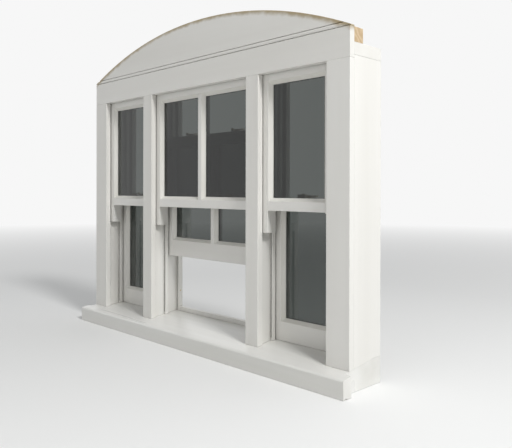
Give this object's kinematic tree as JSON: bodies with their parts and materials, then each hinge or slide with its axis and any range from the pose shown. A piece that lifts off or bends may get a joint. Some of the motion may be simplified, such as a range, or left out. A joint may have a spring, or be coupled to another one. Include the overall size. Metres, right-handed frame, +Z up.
{
  "type": "sash window",
  "caption": "Painted timber tripartite sliding sash window in its frame, with an arched head board, weathered sill, spiral balances and sash fasteners.",
  "frame": {"origin": "underside of the sill, at the middle of the window's width, level with the outer face of the outer linings", "axes": "+X along the wall to the right seen from outside, +Y into the room, +Z up"},
  "size_m": [1.557, 0.2285, 1.2867],
  "materials": {
    "white_paint": "semi-gloss white paint on softwood",
    "sill_paint": "semi-gloss white paint on hardwood",
    "putty": "painted glazing fillet",
    "glass": "clear float glass",
    "white_plastic": "white balance tube",
    "zinc_steel": "zinc-plated steel",
    "brass": "satin brass"
  },
  "bodies": {
    "frame": {"sill": "sill_paint", "jamb_left": "white_paint", "jamb_right": "white_paint", "mullion_left": "white_paint", "mullion_right": "white_paint", "head": "white_paint", "outer_lining_left": "white_paint", "outer_lining_right": "white_paint", "mullion_facings": "white_paint", "head_board": "white_paint", "head_bead": "white_paint", "arch_board": "white_paint", "arch_core": "white_paint", "parting_beads": "white_paint", "staff_beads": "white_paint", "balance_tubes": "white_plastic"},
    "upper_left_sash": {"upper_left_stiles": "white_paint", "upper_left_glass": "glass", "upper_left_putty": "putty", "upper_left_balance_rods": "zinc_steel", "upper_left_rails": "white_paint", "upper_left_keeps": "brass"},
    "lower_left_sash": {"lower_left_stiles": "white_paint", "lower_left_glass": "glass", "lower_left_putty": "putty", "lower_left_balance_rods": "zinc_steel", "lower_left_rails": "white_paint", "lower_left_fittings": "brass"},
    "upper_centre_sash": {"upper_centre_stiles": "white_paint", "upper_centre_glass": "glass", "upper_centre_putty": "putty", "upper_centre_balance_rods": "zinc_steel", "upper_centre_top_rail": "white_paint", "upper_centre_meeting_rail": "white_paint", "upper_centre_bar": "white_paint", "upper_centre_keeps": "brass"},
    "lower_centre_sash": {"lower_centre_stiles": "white_paint", "lower_centre_glass": "glass", "lower_centre_putty": "putty", "lower_centre_balance_rods": "zinc_steel", "lower_centre_top_rail": "white_paint", "lower_centre_bottom_rail": "white_paint", "lower_centre_bar": "white_paint", "lower_centre_fittings": "brass"},
    "upper_right_sash": {"upper_right_stiles": "white_paint", "upper_right_glass": "glass", "upper_right_putty": "putty", "upper_right_balance_rods": "zinc_steel", "upper_right_rails": "white_paint", "upper_right_keeps": "brass"},
    "lower_right_sash": {"lower_right_stiles": "white_paint", "lower_right_glass": "glass", "lower_right_putty": "putty", "lower_right_balance_rods": "zinc_steel", "lower_right_rails": "white_paint", "lower_right_fittings": "brass"},
    "lever_left": {"lever_left": "brass"},
    "lever_centre_1": {"lever_centre_1": "brass"},
    "lever_centre_2": {"lever_centre_2": "brass"},
    "lever_right": {"lever_right": "brass"}
  },
  "joints": [
    {"name": "upper_left_slide", "type": "slide", "parent": "frame", "child": "upper_left_sash", "axis": [0, 0, 1], "range_m": [-0.38, 0]},
    {"name": "upper_centre_slide", "type": "slide", "parent": "frame", "child": "upper_centre_sash", "axis": [0, 0, 1], "range_m": [-0.38, 0]},
    {"name": "upper_right_slide", "type": "slide", "parent": "frame", "child": "upper_right_sash", "axis": [0, 0, 1], "range_m": [-0.38, 0]},
    {"name": "lower_left_slide", "type": "slide", "parent": "frame", "child": "lower_left_sash", "axis": [0, 0, 1], "range_m": [0, 0.355]},
    {"name": "lower_centre_slide", "type": "slide", "parent": "frame", "child": "lower_centre_sash", "axis": [0, 0, 1], "range_m": [-0.254, 0.101]},
    {"name": "lower_right_slide", "type": "slide", "parent": "frame", "child": "lower_right_sash", "axis": [0, 0, 1], "range_m": [0, 0.355]},
    {"name": "lever_left_turn", "type": "hinge", "parent": "lower_left_sash", "child": "lever_left", "pos_m": [-0.5085, 0.099, 0.59373], "axis": [0, 0, -1], "range_deg": [0, 90]},
    {"name": "lever_centre_1_turn", "type": "hinge", "parent": "lower_centre_sash", "child": "lever_centre_1", "pos_m": [-0.142, 0.099, 0.84773], "axis": [0, 0, -1], "range_deg": [0, 90]},
    {"name": "lever_centre_2_turn", "type": "hinge", "parent": "lower_centre_sash", "child": "lever_centre_2", "pos_m": [0.142, 0.099, 0.84773], "axis": [0, 0, -1], "range_deg": [0, 90]},
    {"name": "lever_right_turn", "type": "hinge", "parent": "lower_right_sash", "child": "lever_right", "pos_m": [0.5085, 0.099, 0.59373], "axis": [0, 0, -1], "range_deg": [0, 90]}
  ]
}
